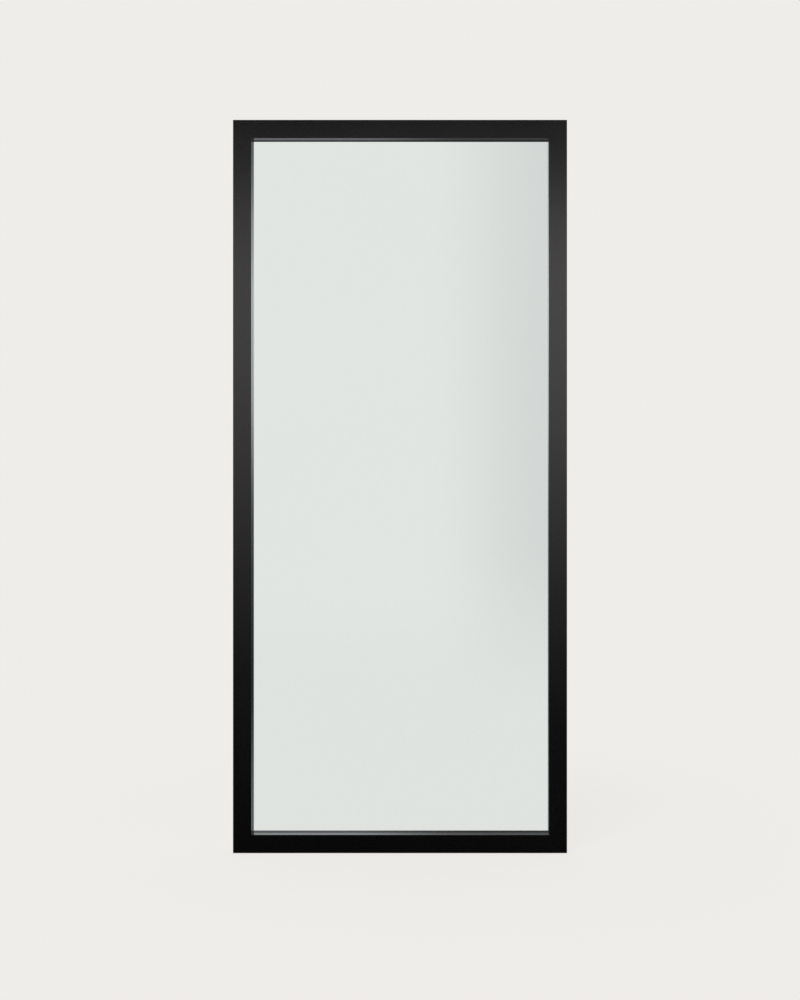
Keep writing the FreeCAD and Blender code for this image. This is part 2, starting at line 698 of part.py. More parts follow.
def make_floor_pad(doc, side):
    """A thin rubber pad with rounded corners, stuck under the bottom rail."""
    pad = new_body(doc, f"floor_pad_{side}")
    outline = new_sketch(pad, "outline", "XY_Plane")
    add_outline(outline, centred_rectangle("Sizes.floor_pad_length", "Sizes.floor_pad_depth"))
    flat = add_pad(pad, "rubber", outline, "Sizes.floor_pad_thickness", backwards=False)

    def upright_edge(middle, direction):
        return abs(direction.z) > 0.9

    add_fillet(pad, "corners", flat, upright_edge, "Sizes.floor_pad_radius")
    across = f"{SIDES[side]} * ({HALF_WIDTH} - Sizes.floor_pad_inset - Sizes.floor_pad_length / 2)"
    place(pad, across, f"{FRONT} + Sizes.floor_pad_setback + Sizes.floor_pad_depth / 2", "0")
    return pad


# ---- screws ----

def make_screw(doc, name, kind, head_outline):
    """A pattern screw on the Y axis, point towards -Y, with Y = 0 at the given head's seat."""
    screw = new_body(doc, name)
    profile = new_sketch(screw, "half_section", "XY_Plane")
    shank = f"Sizes.{kind}_diameter / 2"
    length = f"Sizes.{kind}_length"
    add_outline(profile, head_outline + [(shank, f"-({length} - Sizes.screw_point)"), ("0", f"-{length}")])
    turned = screw.newObject("PartDesign::Revolution", "turned")
    turned.Profile = profile
    turned.ReferenceAxis = (profile, ["V_Axis"])
    return screw


def pan_head(kind):
    """Outline of a pan head, from the middle of its top to the shank under it."""
    head, shank = f"Sizes.{kind}_head / 2", f"Sizes.{kind}_diameter / 2"
    height, crown, shoulder = "Sizes.pan_height", f"0.7 * {head}", "0.5 * Sizes.pan_height"
    return [("0", height), (crown, height), (head, shoulder), (head, "0"), (shank, "0")]


def flush_head(kind):
    """Outline of a countersunk head, its top at Y = 0."""
    head, shank = f"Sizes.{kind}_head / 2", f"Sizes.{kind}_diameter / 2"
    return [("0", "0"), (head, "0"), (shank, f"-({head} - {shank}) / tan(Sizes.countersink_angle / 2)")]


def drive_in(doc, label, screw, places):
    """One screw at each place, all under one name."""
    links = []
    for spot_place in places:
        link = doc.addObject("App::Link", f"{label}_link")
        link.LinkedObject = screw
        place(link, *spot_place)
        links.append(link)
    return gather(doc, label, links)


def plate_screw_places():
    inset = f"({LAND_MIDDLE} - Sizes.plate_width / 2)"
    back = f"{BACK} + Sizes.plate_thickness"
    places = []
    for corner in CORNERS:
        for hole in ("near", "far"):
            along = f"({inset} + Sizes.plate_hole_{hole})"
            edge_across, edge_up = corner_place(corner, LAND_MIDDLE)
            leg_across, leg_up = corner_place(corner, along)
            places += [(leg_across, back, edge_up), (edge_across, back, leg_up)]
    return places


def hanger_screw_places():
    back = f"{BACK} + {STRAP_THICKNESS}"
    places = []
    for side in SIDES:
        for hole in ("near", "far"):
            places.append((hanger_across(side), back, f"{HANGER_HEIGHT} - Sizes.strap_hole_{hole}"))
    return places


def panel_screw_places(sheet):
    back = f"{FRONT} + {LEDGE_DEPTH} + Sizes.panel_thickness"
    return [(across, back, f"{MIDDLE} + {up}") for across, up in panel_screw_spots(sheet)]


def make_screws(doc, sheet):
    plate_screw = make_screw(doc, "plate_screw", "plate_screw", flush_head("plate_screw"))
    panel_screw = make_screw(doc, "panel_screw", "panel_screw", pan_head("panel_screw"))
    fixing_screw = make_screw(doc, "fixing_screw", "fixing_screw", pan_head("fixing_screw"))
    doc.recompute()
    bumper_screw_places = [bumper_place(corner, "Sizes.bumper_seat") for corner in CORNERS]
    return [
        drive_in(doc, "corner_plate_screws", plate_screw, plate_screw_places()),
        drive_in(doc, "back_panel_screws", panel_screw, panel_screw_places(sheet)),
        drive_in(doc, "hanger_screws", fixing_screw, hanger_screw_places()),
        drive_in(doc, "bumper_screws", fixing_screw, bumper_screw_places),
    ]


# ---- the whole mirror ----

def make_mirror(doc):
    """Every sub-part of the mirror, each under the label that names its file."""
    sheet = make_sizes(doc)
    parts = make_frame(doc, sheet)
    parts += [make_biscuit(doc, corner) for corner in CORNERS]
    parts += [make_corner_plate(doc, corner) for corner in CORNERS]
    parts += make_glazing(doc, sheet)
    parts += make_hangers(doc)
    parts += [make_bumper(doc, corner) for corner in CORNERS]
    parts += [make_floor_pad(doc, side) for side in SIDES]
    parts += make_screws(doc, sheet)
    doc.recompute()
    return parts


def check(doc, parts):
    """Stop at anything that failed to build."""
    for each in doc.Objects:
        if "Invalid" in each.State or "Error" in each.State:
            raise RuntimeError(f"{each.Label} did not build: {each.State}")
    for part in parts:
        if part.Shape.isNull() or not part.Shape.isValid() or part.Shape.Volume <= 0:
            raise RuntimeError(f"{part.Label} is not a sound solid")


def export(parts):
    os.makedirs("parts", exist_ok=True)
    for part in parts:
        part.Shape.exportStep(f"parts/{part.Label}.step")
        print(f"{part.Label}: {len(part.Shape.Solids)} solid(s), {part.Shape.Volume:.1f} mm3")


document = FreeCAD.newDocument("LeaningFloorMirror")
mirror_parts = make_mirror(document)
check(document, mirror_parts)
export(mirror_parts)
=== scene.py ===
import math
import random

import bmesh
import bpy
from bpy.props import FloatProperty, FloatVectorProperty, PointerProperty
from mathutils import Matrix, Vector


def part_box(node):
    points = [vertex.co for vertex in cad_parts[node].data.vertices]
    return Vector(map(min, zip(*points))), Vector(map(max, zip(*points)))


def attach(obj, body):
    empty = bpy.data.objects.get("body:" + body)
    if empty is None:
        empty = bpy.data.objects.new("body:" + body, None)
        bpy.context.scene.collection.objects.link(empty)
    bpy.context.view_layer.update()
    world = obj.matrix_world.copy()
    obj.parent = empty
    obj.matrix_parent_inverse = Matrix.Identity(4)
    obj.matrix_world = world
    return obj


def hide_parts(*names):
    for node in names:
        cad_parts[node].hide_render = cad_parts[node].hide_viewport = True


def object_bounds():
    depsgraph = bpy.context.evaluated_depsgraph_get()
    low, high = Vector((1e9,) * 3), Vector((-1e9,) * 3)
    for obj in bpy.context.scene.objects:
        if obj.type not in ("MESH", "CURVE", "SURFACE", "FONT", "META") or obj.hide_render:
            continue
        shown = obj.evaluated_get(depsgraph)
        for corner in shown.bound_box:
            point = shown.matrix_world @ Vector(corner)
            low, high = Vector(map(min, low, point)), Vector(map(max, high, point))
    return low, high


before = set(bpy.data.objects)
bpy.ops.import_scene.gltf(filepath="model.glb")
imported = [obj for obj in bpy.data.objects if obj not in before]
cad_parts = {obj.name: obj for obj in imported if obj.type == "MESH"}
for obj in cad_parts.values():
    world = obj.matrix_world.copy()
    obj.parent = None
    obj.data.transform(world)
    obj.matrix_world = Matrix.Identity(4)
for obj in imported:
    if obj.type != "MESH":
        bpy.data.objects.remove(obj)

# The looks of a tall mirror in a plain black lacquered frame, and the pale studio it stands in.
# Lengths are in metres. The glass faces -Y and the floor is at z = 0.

CAD_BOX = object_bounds()

bl_info = {
    "name": "Leaning floor mirror",
    "version": (1, 0, 0),
    "blender": (4, 5, 0),
    "location": "3D View > Sidebar > Floor mirror",
    "description": "Finishes and small parts of a tall black-framed floor mirror, with its studio",
    "category": "Object",
}

FRAME_MEMBERS = ("top_rail", "bottom_rail", "left_stile", "right_stile")
CORNERS = ("bottom_left", "bottom_right", "top_right", "top_left")
SIDES = ("left", "right")
BISCUITS = tuple(f"biscuit_{corner}" for corner in CORNERS)
CORNER_PLATES = tuple(f"corner_plate_{corner}" for corner in CORNERS)
STRAPS = tuple(f"{side}_hanger_strap" for side in SIDES)
RINGS = tuple(f"{side}_hanger_ring" for side in SIDES)
WALL_BUMPERS = tuple(f"wall_bumper_{corner}" for corner in CORNERS)
FLOOR_PADS = tuple(f"floor_pad_{side}" for side in SIDES)
GLASS_BLOCKS = ("setting_blocks", "top_spacers", "side_spacers")
TAPES = tuple(f"glazing_tape_{edge}" for edge in ("top", "bottom", "left", "right"))
SEED = 11

# Edges that turn more than CREASE are shaded as creases. Foam is rounded where it turns more than
# SHARP. Both are in radians.
CREASE = math.radians(32)
SHARP = 1.0

# Screws. The flat in the middle of a head is a share of its radius. A raised head's dome goes by
# steps of radius and depth, each a share of the head's, and a sunk head's rim by steps of depth.
SCREW_SIDES = 28
THREAD_STEPS = 12
PAN_FLAT = 0.62
PAN_DOME = ((0.86, 0.16), (0.97, 0.42), (1.0, 0.72), (0.98, 1.0))
SUNK_FLAT = 0.97
SUNK_RIM = (0.05, 0.14)

# Studio: where the lamp hangs and what it points at, how far from the middle the shadow starts and
# ends its fading, and the width of the camera's sensor in millimetres.
LAMP_PLACE = (-0.9, -2.9, 3.6)
LAMP_TARGET = (0.0, 0.0, 0.7)
SHADOW_ENDS = (0.5, 1.5)
SENSOR_WIDTH = 36.0


# Shader nodes ---------------------------------------------------------------------------------

def rgba(colour):
    """A colour of three numbers, or four, as four numbers."""
    return (*tuple(colour)[:3], 1.0)


def scaled(colour, factor):
    """A colour that is this many times as bright."""
    return [factor * part for part in colour]


def find_socket(sockets, key):
    """The socket with this identifier, name or index."""
    for socket in sockets:
        if socket.identifier == key:
            return socket
    return sockets[key]


class Wire:
    """A node's output. An expression with it adds the Math nodes that work it out."""

    def __init__(self, tree, socket):
        self.tree = tree
        self.socket = socket

    def maths(self, operation, *others):
        inputs = dict(enumerate((self, *others)))
        return self.tree.node("ShaderNodeMath", {"operation": operation}, inputs)

    def swapped(self, operation, other):
        return self.tree.node("ShaderNodeMath", {"operation": operation}, {0: other, 1: self})

    def __add__(self, other):
        return self.maths("ADD", other)

    def __sub__(self, other):
        return self.maths("SUBTRACT", other)

    def __mul__(self, other):
        return self.maths("MULTIPLY", other)

    def __pow__(self, other):
        return self.maths("POWER", other)

    def __radd__(self, other):
        return self.swapped("ADD", other)

    def __rsub__(self, other):
        return self.swapped("SUBTRACT", other)

    def __rmul__(self, other):
        return self.swapped("MULTIPLY", other)

    def __neg__(self):
        return self.swapped("SUBTRACT", 0.0)

    def __abs__(self):
        return self.maths("ABSOLUTE")

    def __lt__(self, other):
        return self.maths("LESS_THAN", other)

    def __gt__(self, other):
        return self.maths("GREATER_THAN", other)

    def limited(self, low, high):
        return self.maths("MAXIMUM", low).maths("MINIMUM", high)

    def swing(self, amount):
        """A value from 0 to 1, turned into one that swings by this amount in all about zero."""
        return amount * (self - 0.5)


class Tree:
    """The node tree of a material or of the world."""

    def __init__(self, node_tree):
        self.nodes = node_tree.nodes
        self.links = node_tree.links
        self.nodes.clear()

    def node(self, kind, settings=None, inputs=None, output=0):
        """Adds a node, sets it up, fills its sockets with values or links, and gives an output."""
        made = self.nodes.new(kind)
        for name, value in (settings or {}).items():
            setattr(made, name, value)
        for key, value in (inputs or {}).items():
            socket = find_socket(made.inputs, key)
            if isinstance(value, Wire):
                self.links.new(value.socket, socket)
            else:
                socket.default_value = value
        if not made.outputs:
            return None
        return Wire(self, find_socket(made.outputs, output))

    def place(self):
        """Where a point lies on the object, in metres."""
        return self.node("ShaderNodeTexCoord", output="Object")

    def split(self, vector):
        """The three parts of a vector."""
        parts = self.node("ShaderNodeSeparateXYZ", inputs={"Vector": vector})
        return [Wire(self, socket) for socket in parts.socket.node.outputs]

    def smooth(self, value, low, high):
        """0 below low, 1 above high, and an easy curve between them."""
        return self.node(
            "ShaderNodeMapRange",
            {"interpolation_type": "SMOOTHSTEP"},
            {"Value": value, "From Min": low, "From Max": high},
        )

    def noise(self, place, size, detail=2.0, rough=0.5, bend=0.0):
        """Clouds from 0 to 1, about size metres across."""
        inputs = {
            "Vector": place,
            "Scale": 1 / size,
            "Detail": detail,
            "Roughness": rough,
            "Distortion": bend,
        }
        return self.node("ShaderNodeTexNoise", inputs=inputs)

    def stretched(self, place, stretch, turn=(0.0, 0.0, 0.0)):
        """Coordinates in which a pattern comes out stretched along the axes, after a turn."""
        turning = {"Vector": place, "Rotation": turn}
        turned = self.node("ShaderNodeMapping", {"vector_type": "TEXTURE"}, turning)
        scaling = {"Vector": turned, "Scale": [1 / part for part in stretch]}
        return self.node("ShaderNodeMapping", inputs=scaling)

    def fibres(self, place, clump, width):
        """Short fibres that lie flat in clumps, each clump at its own slant."""
        slant = self.split(self.cells(place, clump, "Color"))[0] * math.pi
        turn = self.node("ShaderNodeCombineXYZ", inputs={"Y": slant})
        laid = self.node("ShaderNodeMapping", inputs={"Vector": place, "Rotation": turn})
        drawn_out = self.stretched(laid, stretch=(9.0, 1.0, 1.0))
        return self.noise(drawn_out, width, detail=3.0, rough=0.6, bend=0.5)

    def cells(self, place, size, output="Distance"):
        """A cell pattern with cells about size metres across."""
        inputs = {"Vector": place, "Scale": 1 / size}
        return self.node("ShaderNodeTexVoronoi", inputs=inputs, output=output)

    def mix(self, share, first, second):
        """The first colour where share is 0, and the second where it is 1."""
        inputs = {"Factor_Float": share}
        for key, colour in (("A_Color", first), ("B_Color", second)):
            inputs[key] = colour if isinstance(colour, Wire) else rgba(colour)
        return self.node("ShaderNodeMix", {"data_type": "RGBA"}, inputs, "Result_Color")

    def bump(self, height, depth):
        """The normal of a surface with this relief, depth metres deep."""
        return self.node("ShaderNodeBump", inputs={"Height": height, "Distance": depth})

    def surface(self, colour, roughness, metallic=0.0, normal=None):
        """A Principled surface."""
        inputs = {
            "Base Color": colour if isinstance(colour, Wire) else rgba(colour),
            "Roughness": roughness,
            "Metallic": metallic,
        }
        if normal is not None:
            inputs["Normal"] = normal
        return self.node("ShaderNodeBsdfPrincipled", inputs=inputs)

    def mixed_surface(self, share, first, second):
        """The first surface where share is 0, and the second where it is 1."""
        return self.node("ShaderNodeMixShader", inputs={0: share, 1: first, 2: second})

    def finish(self, surface, kind="ShaderNodeOutputMaterial"):
        self.node(kind, inputs={"Surface": surface})


def new_material(name):
    """An empty material and its tree."""
    material = bpy.data.materials.new(name)
    material.use_nodes = True
    return material, Tree(material.node_tree)


def give(material, *names):
    """Puts a material on CAD nodes, whose shapes stay."""
    for name in names:
        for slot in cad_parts[name].material_slots:
            slot.material = material


# Finishes -------------------------------------------------------------------------------------

def black_lacquer(look):
    """Smooth satin lacquer in front and at the sides, thin overspray behind and in the rebate."""
    material, tree = new_material("black_lacquer_finish")
    place = tree.place()
    across, depth, up = tree.split(place)
    low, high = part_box("back_panel")
    middle = (low.z + high.z) / 2
    rebate_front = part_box("mirror_glass")[0].y - 0.0012
    back_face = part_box("top_rail")[1].y

    # The rebate reaches this far past the panel's edges.
    margin = 0.0013
    in_width = abs(across) < high.x + margin
    in_height = abs(up - middle) < (high.z - low.z) / 2 + margin
    rebate = in_width * in_height * (depth > rebate_front)
    back = tree.smooth(depth, back_face - 0.0016, back_face - 0.0004)
    thin = (rebate + back).limited(0.0, 1.0)

    peel = tree.noise(place, look.peel_size, rough=0.45)
    drift = tree.noise(place, size=0.22, detail=3.0)
    grit = tree.noise(place, size=0.0011, rough=0.6)
    rub = tree.noise(place, size=0.036, detail=4.0, rough=0.7, bend=1.2)
    board = tree.noise(place, size=0.006, detail=5.0, rough=0.65)

    gloss = look.roughness + drift.swing(0.035) + rub.swing(0.03)
    dull = look.back_roughness + board.swing(0.22)
    roughness = gloss + thin * (dull - gloss)

    dust = thin * tree.smooth(board, 0.45, 0.8) * look.back_dust
    deep = tree.mix(tree.smooth(drift, 0.35, 0.7), look.colour, scaled(look.colour, 1.25))
    primed = tree.mix(dust, look.back_colour, scaled(look.back_colour, 2.6))
    colour = tree.mix(thin, deep, primed)

    relief = peel + thin * (1.6 * grit + 1.1 * board)
    tree.finish(tree.surface(colour, roughness, normal=tree.bump(relief, look.peel_depth)))
    return material


def silvered_glass(look):
    """A mirror in front, ground green glass at its edges and grey protective paint behind."""
    material, tree = new_material("silvered_glass_finish")
    place = tree.place()
    depth = tree.split(place)[1]
    low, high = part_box("mirror_glass")

    cloud = tree.noise(place, size=0.45, rough=0.4)
    tint = tree.mix(cloud, look.tint, scaled(look.tint, 0.988))
    mirror = tree.surface(tint, roughness=0.0, metallic=1.0)

    wiped = tree.stretched(place, stretch=(0.5, 1.0, 2.6), turn=(0.0, 0.5, 0.0))
    wipes = tree.noise(wiped, size=0.05, detail=5.0, rough=0.6, bend=1.5)
    specks = tree.cells(place, size=0.011)
    haze = tree.smooth(wipes, 0.45, 0.85) * look.haze + (specks < 0.035) * look.haze
    dusty = tree.surface(look.dust_colour, roughness=0.9)
    front = tree.mixed_surface(haze, mirror, dusty)

    ground = tree.noise(place, size=0.0006, rough=0.7)
    green = tree.mix(ground, look.edge_colour, scaled(look.edge_colour, 0.7))
    edge = tree.surface(green, 0.35 + 0.2 * ground, normal=tree.bump(ground, look.edge_relief))

    dripped = tree.stretched(place, stretch=(1.0, 1.0, 14.0))
    runs = tree.noise(dripped, size=0.01, detail=4.0, rough=0.6)
    darker = scaled(look.paint_colour, 0.82)
    grey = tree.mix(tree.smooth(runs, 0.3, 0.75), look.paint_colour, darker)
    paint = tree.surface(grey, 0.5 + 0.15 * runs, normal=tree.bump(runs, look.paint_relief))

    # A point this near to the front or the back face counts as on it.
    skin = 0.0001
    behind = tree.mixed_surface(depth > high.y - skin, edge, paint)
    tree.finish(tree.mixed_surface(depth < low.y + skin, behind, front))
    return material


def hardboard(look):
    """Pressed wood fibre: a mottled brown face with fine tangled fibres and dark specks."""
    material, tree = new_material("hardboard_finish")
    place = tree.place()
    across, _, up = tree.split(place)
    low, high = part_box("back_panel")
    middle = (low.z + high.z) / 2
    half_height = (high.z - low.z) / 2

    mottle = tree.noise(place, size=0.05, detail=5.0, rough=0.65)
    fleck = tree.noise(place, size=0.002, detail=4.0, rough=0.7, bend=0.6)
    width = look.fibre_width
    coarse = tree.fibres(place, clump=22 * width, width=1.6 * width)
    medium = tree.fibres(place, clump=13 * width, width=width)
    fine = tree.fibres(place, clump=8 * width, width=0.7 * width)
    tangle = coarse * 0.3 + medium * 0.4 + fine * 0.3

    light = tree.mix(tree.smooth(mottle, 0.25, 0.75), look.colour, look.light_colour)
    streaked = tree.mix(tree.smooth(tangle, 0.5, 0.64) * 0.6, light, look.fibre_colour)
    dark = tree.mix(tree.smooth(tangle, 0.47, 0.36) * 0.5, streaked, look.speck_colour)
    speck = tree.smooth(tree.noise(place, size=0.0019), 0.7, 0.77)
    specked = tree.mix(speck * 0.6, dark, look.speck_colour)

    # How far inside the panel's edge the darkening towards the edge starts and is complete.
    start, full = 0.0022, 0.0002
    side = tree.smooth(abs(across), high.x - start, high.x - full)
    end = tree.smooth(abs(up - middle), half_height - start, half_height - full)
    cut = side.maths("MAXIMUM", end)
    # The panel is darker towards its edges, reaching 0.55 of the way to the speck colour at the
    # edge faces.
    colour = tree.mix(cut * 0.55, specked, look.speck_colour)

    roughness = look.roughness + fleck.swing(0.2) + mottle.swing(0.1)
    normal = tree.bump(fleck * 0.6 + tangle, look.relief)
    tree.finish(tree.surface(colour, roughness, normal=normal))
    return material


def zinc_plate(look, name, wire=False):
    """Bright zinc on steel: fine rolling or drawing lines, dulled patches and rubs."""
    material, tree = new_material(name)
    place = tree.place()
    lined = place
    if not wire:
        lined = tree.stretched(place, stretch=(26.0, 1.0, 1.0), turn=(0.0, 0.35, 0.0))
    rolled = tree.noise(lined, size=0.00035, detail=3.0, rough=0.6)
    crystals = tree.cells(place, size=0.0042, output="Color")
    spangle = tree.node("ShaderNodeSeparateColor", inputs={"Color": crystals})
    tarnish = tree.noise(place, size=0.011, detail=5.0, rough=0.7, bend=0.5)
    scored = tree.stretched(place, stretch=(30.0, 1.0, 1.0), turn=(0.0, 1.1, 0.0))
    cut = tree.smooth(tree.noise(scored, size=0.0009, bend=0.3), 0.7, 0.76)

    warm = tree.mix(tree.smooth(tarnish, 0.35, 0.7), look.zinc_colour, look.tarnish_colour)
    colour = tree.mix(cut * 0.5, warm, look.bare_colour)
    uneven = spangle.swing(0.07) + tarnish.swing(0.14) + rolled.swing(0.12)
    relief = rolled * 0.7 + spangle * 0.3 - cut
    normal = tree.bump(relief, look.line_depth)
    tree.finish(tree.surface(colour, look.zinc_roughness + uneven, metallic=1.0, normal=normal))
    return material


def rubber(look, name, colour, bloom):
    """Moulded rubber: a fine matt grain with a pale bloom in patches."""
    material, tree = new_material(name)
    place = tree.place()
    grain = tree.noise(place, size=0.0004, detail=3.0, rough=0.6)
    patch = tree.noise(place, size=0.009, detail=4.0, rough=0.6)
    pits = tree.smooth(tree.cells(place, size=0.0009), 0.0, 0.35)
    pale = [part + look.paleness for part in colour]
    shade = tree.mix(tree.smooth(patch, 0.4, 0.8) * bloom, colour, pale)
    roughness = look.roughness + patch.swing(0.16) + grain.swing(0.1)
    normal = tree.bump(grain + 0.4 * pits, look.grain_depth)
    tree.finish(tree.surface(shade, roughness, normal=normal))
    return material


def foam(name, colour, cell, relief):
    """Soft foam: closed cells of uneven size, with painted shade making their hollows a little
    darker.
    """
    material, tree = new_material(name)
    place = tree.place()
    large = tree.cells(place, cell)
    small = tree.cells(place, 0.4 * cell)
    patch = tree.noise(place, size=9 * cell, detail=3.0)
    shaded_hollow = tree.smooth(large + 0.4 * small, 0.15, 0.9)
    # The colour is darker in the cells' hollows, using the same mask that sinks them: painted
    # shade.
    shade = tree.mix(shaded_hollow * (0.6 + 0.4 * patch), colour, scaled(colour, 0.66))
    tree.finish(tree.surface(shade, 0.82 + 0.14 * patch, normal=tree.bump(1.0 - shaded_hollow, relief)))
    return material


def beech(look):
    """Pressed beech: pale pink-brown with short dark ray flecks along the grain."""
    material, tree = new_material("beech_finish")
    place = tree.place()
    slant = (0.0, 0.785, 0.0)
    grown = tree.stretched(place, stretch=(8.0, 1.0, 1.0), turn=slant)
    grain = tree.noise(grown, size=0.0016, detail=4.0, rough=0.6, bend=0.3)
    rays = tree.noise(tree.stretched(place, (5.0, 1.0, 1.0), slant), size=0.0007, detail=1.0)
    fleck = tree.smooth(rays, 0.62, 0.72)
    dark = scaled(look.beech_colour, 0.78)
    base = tree.mix(tree.smooth(grain, 0.3, 0.7), look.beech_colour, dark)
    shade = tree.mix(fleck * 0.7, base, scaled(look.beech_colour, 0.5))
    normal = tree.bump(grain - fleck, look.beech_relief)
    tree.finish(tree.surface(shade, 0.6 + grain.swing(0.15), normal=normal))
    return material


# Shapes ---------------------------------------------------------------------------------------

def only(kind, made):
    """The verts, edges or faces among what an operator made."""
    return [item for item in made["geom"] if isinstance(item, kind)]


def as_piece(work, name, material):
    """Makes an object of a bmesh, smooth but for its creases, with its material and slot."""
    for face in work.faces:
        face.smooth = True
    for edge in work.edges:
        edge.smooth = edge.calc_face_angle(math.pi) < CREASE
    mesh = bpy.data.meshes.new(name)
    work.to_mesh(mesh)
    work.free()
    piece = bpy.data.objects.new(name, mesh)
    bpy.context.scene.collection.objects.link(piece)
    mesh.materials.append(material)
    return piece


def solids_of(node):
    """The lowest and highest corner of each separate solid in a CAD node."""
    work = bmesh.new()
    work.from_mesh(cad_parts[node].data)
    bmesh.ops.remove_doubles(work, verts=work.verts, dist=1e-6)
    left = set(work.verts)
    boxes = []
    while left:
        solid = {left.pop()}
        edge_of_search = set(solid)
        while edge_of_search:
            reached = {edge.other_vert(vert) for vert in edge_of_search for edge in vert.link_edges}
            edge_of_search = reached & left
            solid |= edge_of_search
            left -= edge_of_search
        lowest = Vector(min(vert.co[axis] for vert in solid) for axis in range(3))
        highest = Vector(max(vert.co[axis] for vert in solid) for axis in range(3))
        boxes.append((lowest, highest))
    work.free()
    return sorted(boxes, key=lambda box: tuple(round(value, 5) for value in box[0]))


def soft_slab(name, node, material, round_over, pieces, ripple):
    """A strip or sheet of foam in the box of its CAD node, with rounded, faintly uneven edges.

    It is cut into this many pieces along each axis, so that its edges can ripple.
    """
    low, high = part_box(node)
    size = high - low
    middle = (low + high) / 2
    work = bmesh.new()
    bmesh.ops.create_cube(work, size=1.0)
    bmesh.ops.scale(work, vec=size, verts=work.verts)
    bmesh.ops.translate(work, vec=middle, verts=work.verts)
    for axis, cuts in enumerate(pieces):
        for cut in range(1, cuts):
            place = low.copy()
            place[axis] += size[axis] * cut / cuts
            way = Vector((axis == 0, axis == 1, axis == 2))
            everything = work.verts[:] + work.edges[:] + work.faces[:]
            bmesh.ops.bisect_plane(work, geom=everything, dist=1e-7, plane_co=place, plane_no=way)
    rims = [edge for edge in work.edges if edge.calc_face_angle(0.0) > SHARP]
    bmesh.ops.bevel(
        work,
        geom=rims,
        offset=round_over,
        offset_type="OFFSET",
        affect="EDGES",
        segments=4,
        profile=0.5,
        material=-1,
    )
    dice = random.Random(SEED)
    longest = max(range(3), key=lambda axis: size[axis])
    waves = [(dice.uniform(20, 60), dice.uniform(0, 6)) for _ in range(3)]
    for vert in work.verts:
        run = vert.co[longest]
        wave = sum(math.sin(pitch * run + start) for pitch, start in waves) / len(waves)
        draw = ripple * (0.5 + wave / 2)
        for axis in (0, 2):
            reach = vert.co[axis] - middle[axis]
            if abs(reach) > size[axis] / 2 - 1.2 * round_over:
                vert.co[axis] -= math.copysign(draw, reach)
    bmesh.ops.recalc_face_normals(work, faces=work.faces)
    piece = as_piece(work, name, material)
    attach(piece, "mirror")
    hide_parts(node)
    return piece


def next_ring(work, rim, start, radius, drop):
    """Carries an open rim on to the next radius and depth of a turned shape."""
    made = bmesh.ops.extrude_edge_only(work, edges=rim)
    verts = only(bmesh.types.BMVert, made)
    bmesh.ops.scale(work, vec=(radius / start, radius / start, 1.0), verts=verts)
    bmesh.ops.translate(work, vec=(0.0, 0.0, -drop), verts=verts)
    ring = set(verts)
    return [edge for edge in only(bmesh.types.BMEdge, made) if ring.issuperset(edge.verts)]


def cut_cross(work, disc, sizes, flat):
    """Sinks a tapered cross recess into a flat disc at z = 0."""
    rim_width = flat * 0.12
    bmesh.ops.inset_region(work, faces=[disc], thickness=rim_width, use_even_offset=True)
    half_long = flat * sizes.recess_reach
    half_wide = flat * sizes.recess_width
    centre = [disc]
    for way in (Vector((1, 0, 0)), Vector((0, 1, 0))):
        for offset in (-half_long, -half_wide, half_wide, half_long):
            parts = set(centre)
            parts.update(edge for face in centre for edge in face.edges)
            parts.update(vert for face in centre for vert in face.verts)
            made = bmesh.ops.bisect_plane(
                work, geom=list(parts), dist=1e-8, plane_co=way * offset, plane_no=way
            )
            centre = only(bmesh.types.BMFace, made)
    arms = []
    for face in centre:
        spot = face.calc_center_median()
        x, y = abs(spot.x), abs(spot.y)
        if (x < half_long and y < half_wide) or (y < half_long and x < half_wide):
            arms.append(face)
    borders = {edge for face in arms for edge in face.edges}
    made = bmesh.ops.extrude_face_region(work, geom=arms + list(borders))
    floor = only(bmesh.types.BMVert, made)
    bmesh.ops.translate(work, vec=(0.0, 0.0, -flat * sizes.recess_depth), verts=floor)
    bmesh.ops.scale(work, vec=(0.5, 0.5, 1.0), verts=floor)


def thread(work, core, crest, top, bottom, pitch):
    """A ridge that winds down the shank."""
    turns = (top - bottom) / pitch
    steps = int(turns * THREAD_STEPS)
    root = core * 0.9
    half_ridge = pitch * 0.3
    profile = [
        work.verts.new((root, 0.0, top + half_ridge)),
        work.verts.new((crest, 0.0, top)),
        work.verts.new((root, 0.0, top - half_ridge)),
    ]
    bmesh.ops.spin(
        work,
        geom=[work.faces.new(profile)],
        cent=(0, 0, 0),
        axis=(0, 0, 1),
        dvec=(0, 0, (bottom - top) / steps),
        angle=2 * math.pi * turns,
        steps=steps,
        use_merge=False,
    )


def turned_screw(sizes, head_radius, shank_radius, length, pan):
    """One cross-headed screw with its head's top at z = 0, pointing down."""
    work = bmesh.new()
    flat = head_radius * (PAN_FLAT if pan else SUNK_FLAT)
    bmesh.ops.create_circle(work, cap_ends=True, segments=SCREW_SIDES, radius=flat)
    cut_cross(work, work.faces[:][0], sizes, flat)
    rim = [edge for edge in work.edges if edge.is_boundary]
    if pan:
        height = sizes.pan_height
        neck = height
        rings = [(head_radius * out, height * down) for out, down in PAN_DOME]
    else:
        height = head_radius - shank_radius
        neck = 1.1 * height
        rings = [(head_radius, height * down) for down in SUNK_RIM]
    core = shank_radius * 0.7
    tip = shank_radius * 1.8
    rings += [
        (shank_radius, neck),
        (shank_radius, height + shank_radius),
        (core, height + shank_radius * 1.35),
        (core, length - tip),
        (core * 0.3, length - tip * 0.15),
        (core * 0.05, length),
    ]
    radius, level = flat, 0.0
    for out, down in rings:
        rim = next_ring(work, rim, radius, out, down - level)
        radius, level = out, down
    bmesh.ops.holes_fill(work, edges=rim, sides=0)
    thread(work, core, shank_radius, -(height + shank_radius * 1.6), -(length - tip), sizes.pitch)
    bmesh.ops.recalc_face_normals(work, faces=work.faces)
    mesh = bpy.data.meshes.new("screw_pattern")
    work.to_mesh(mesh)
    work.free()
    return mesh


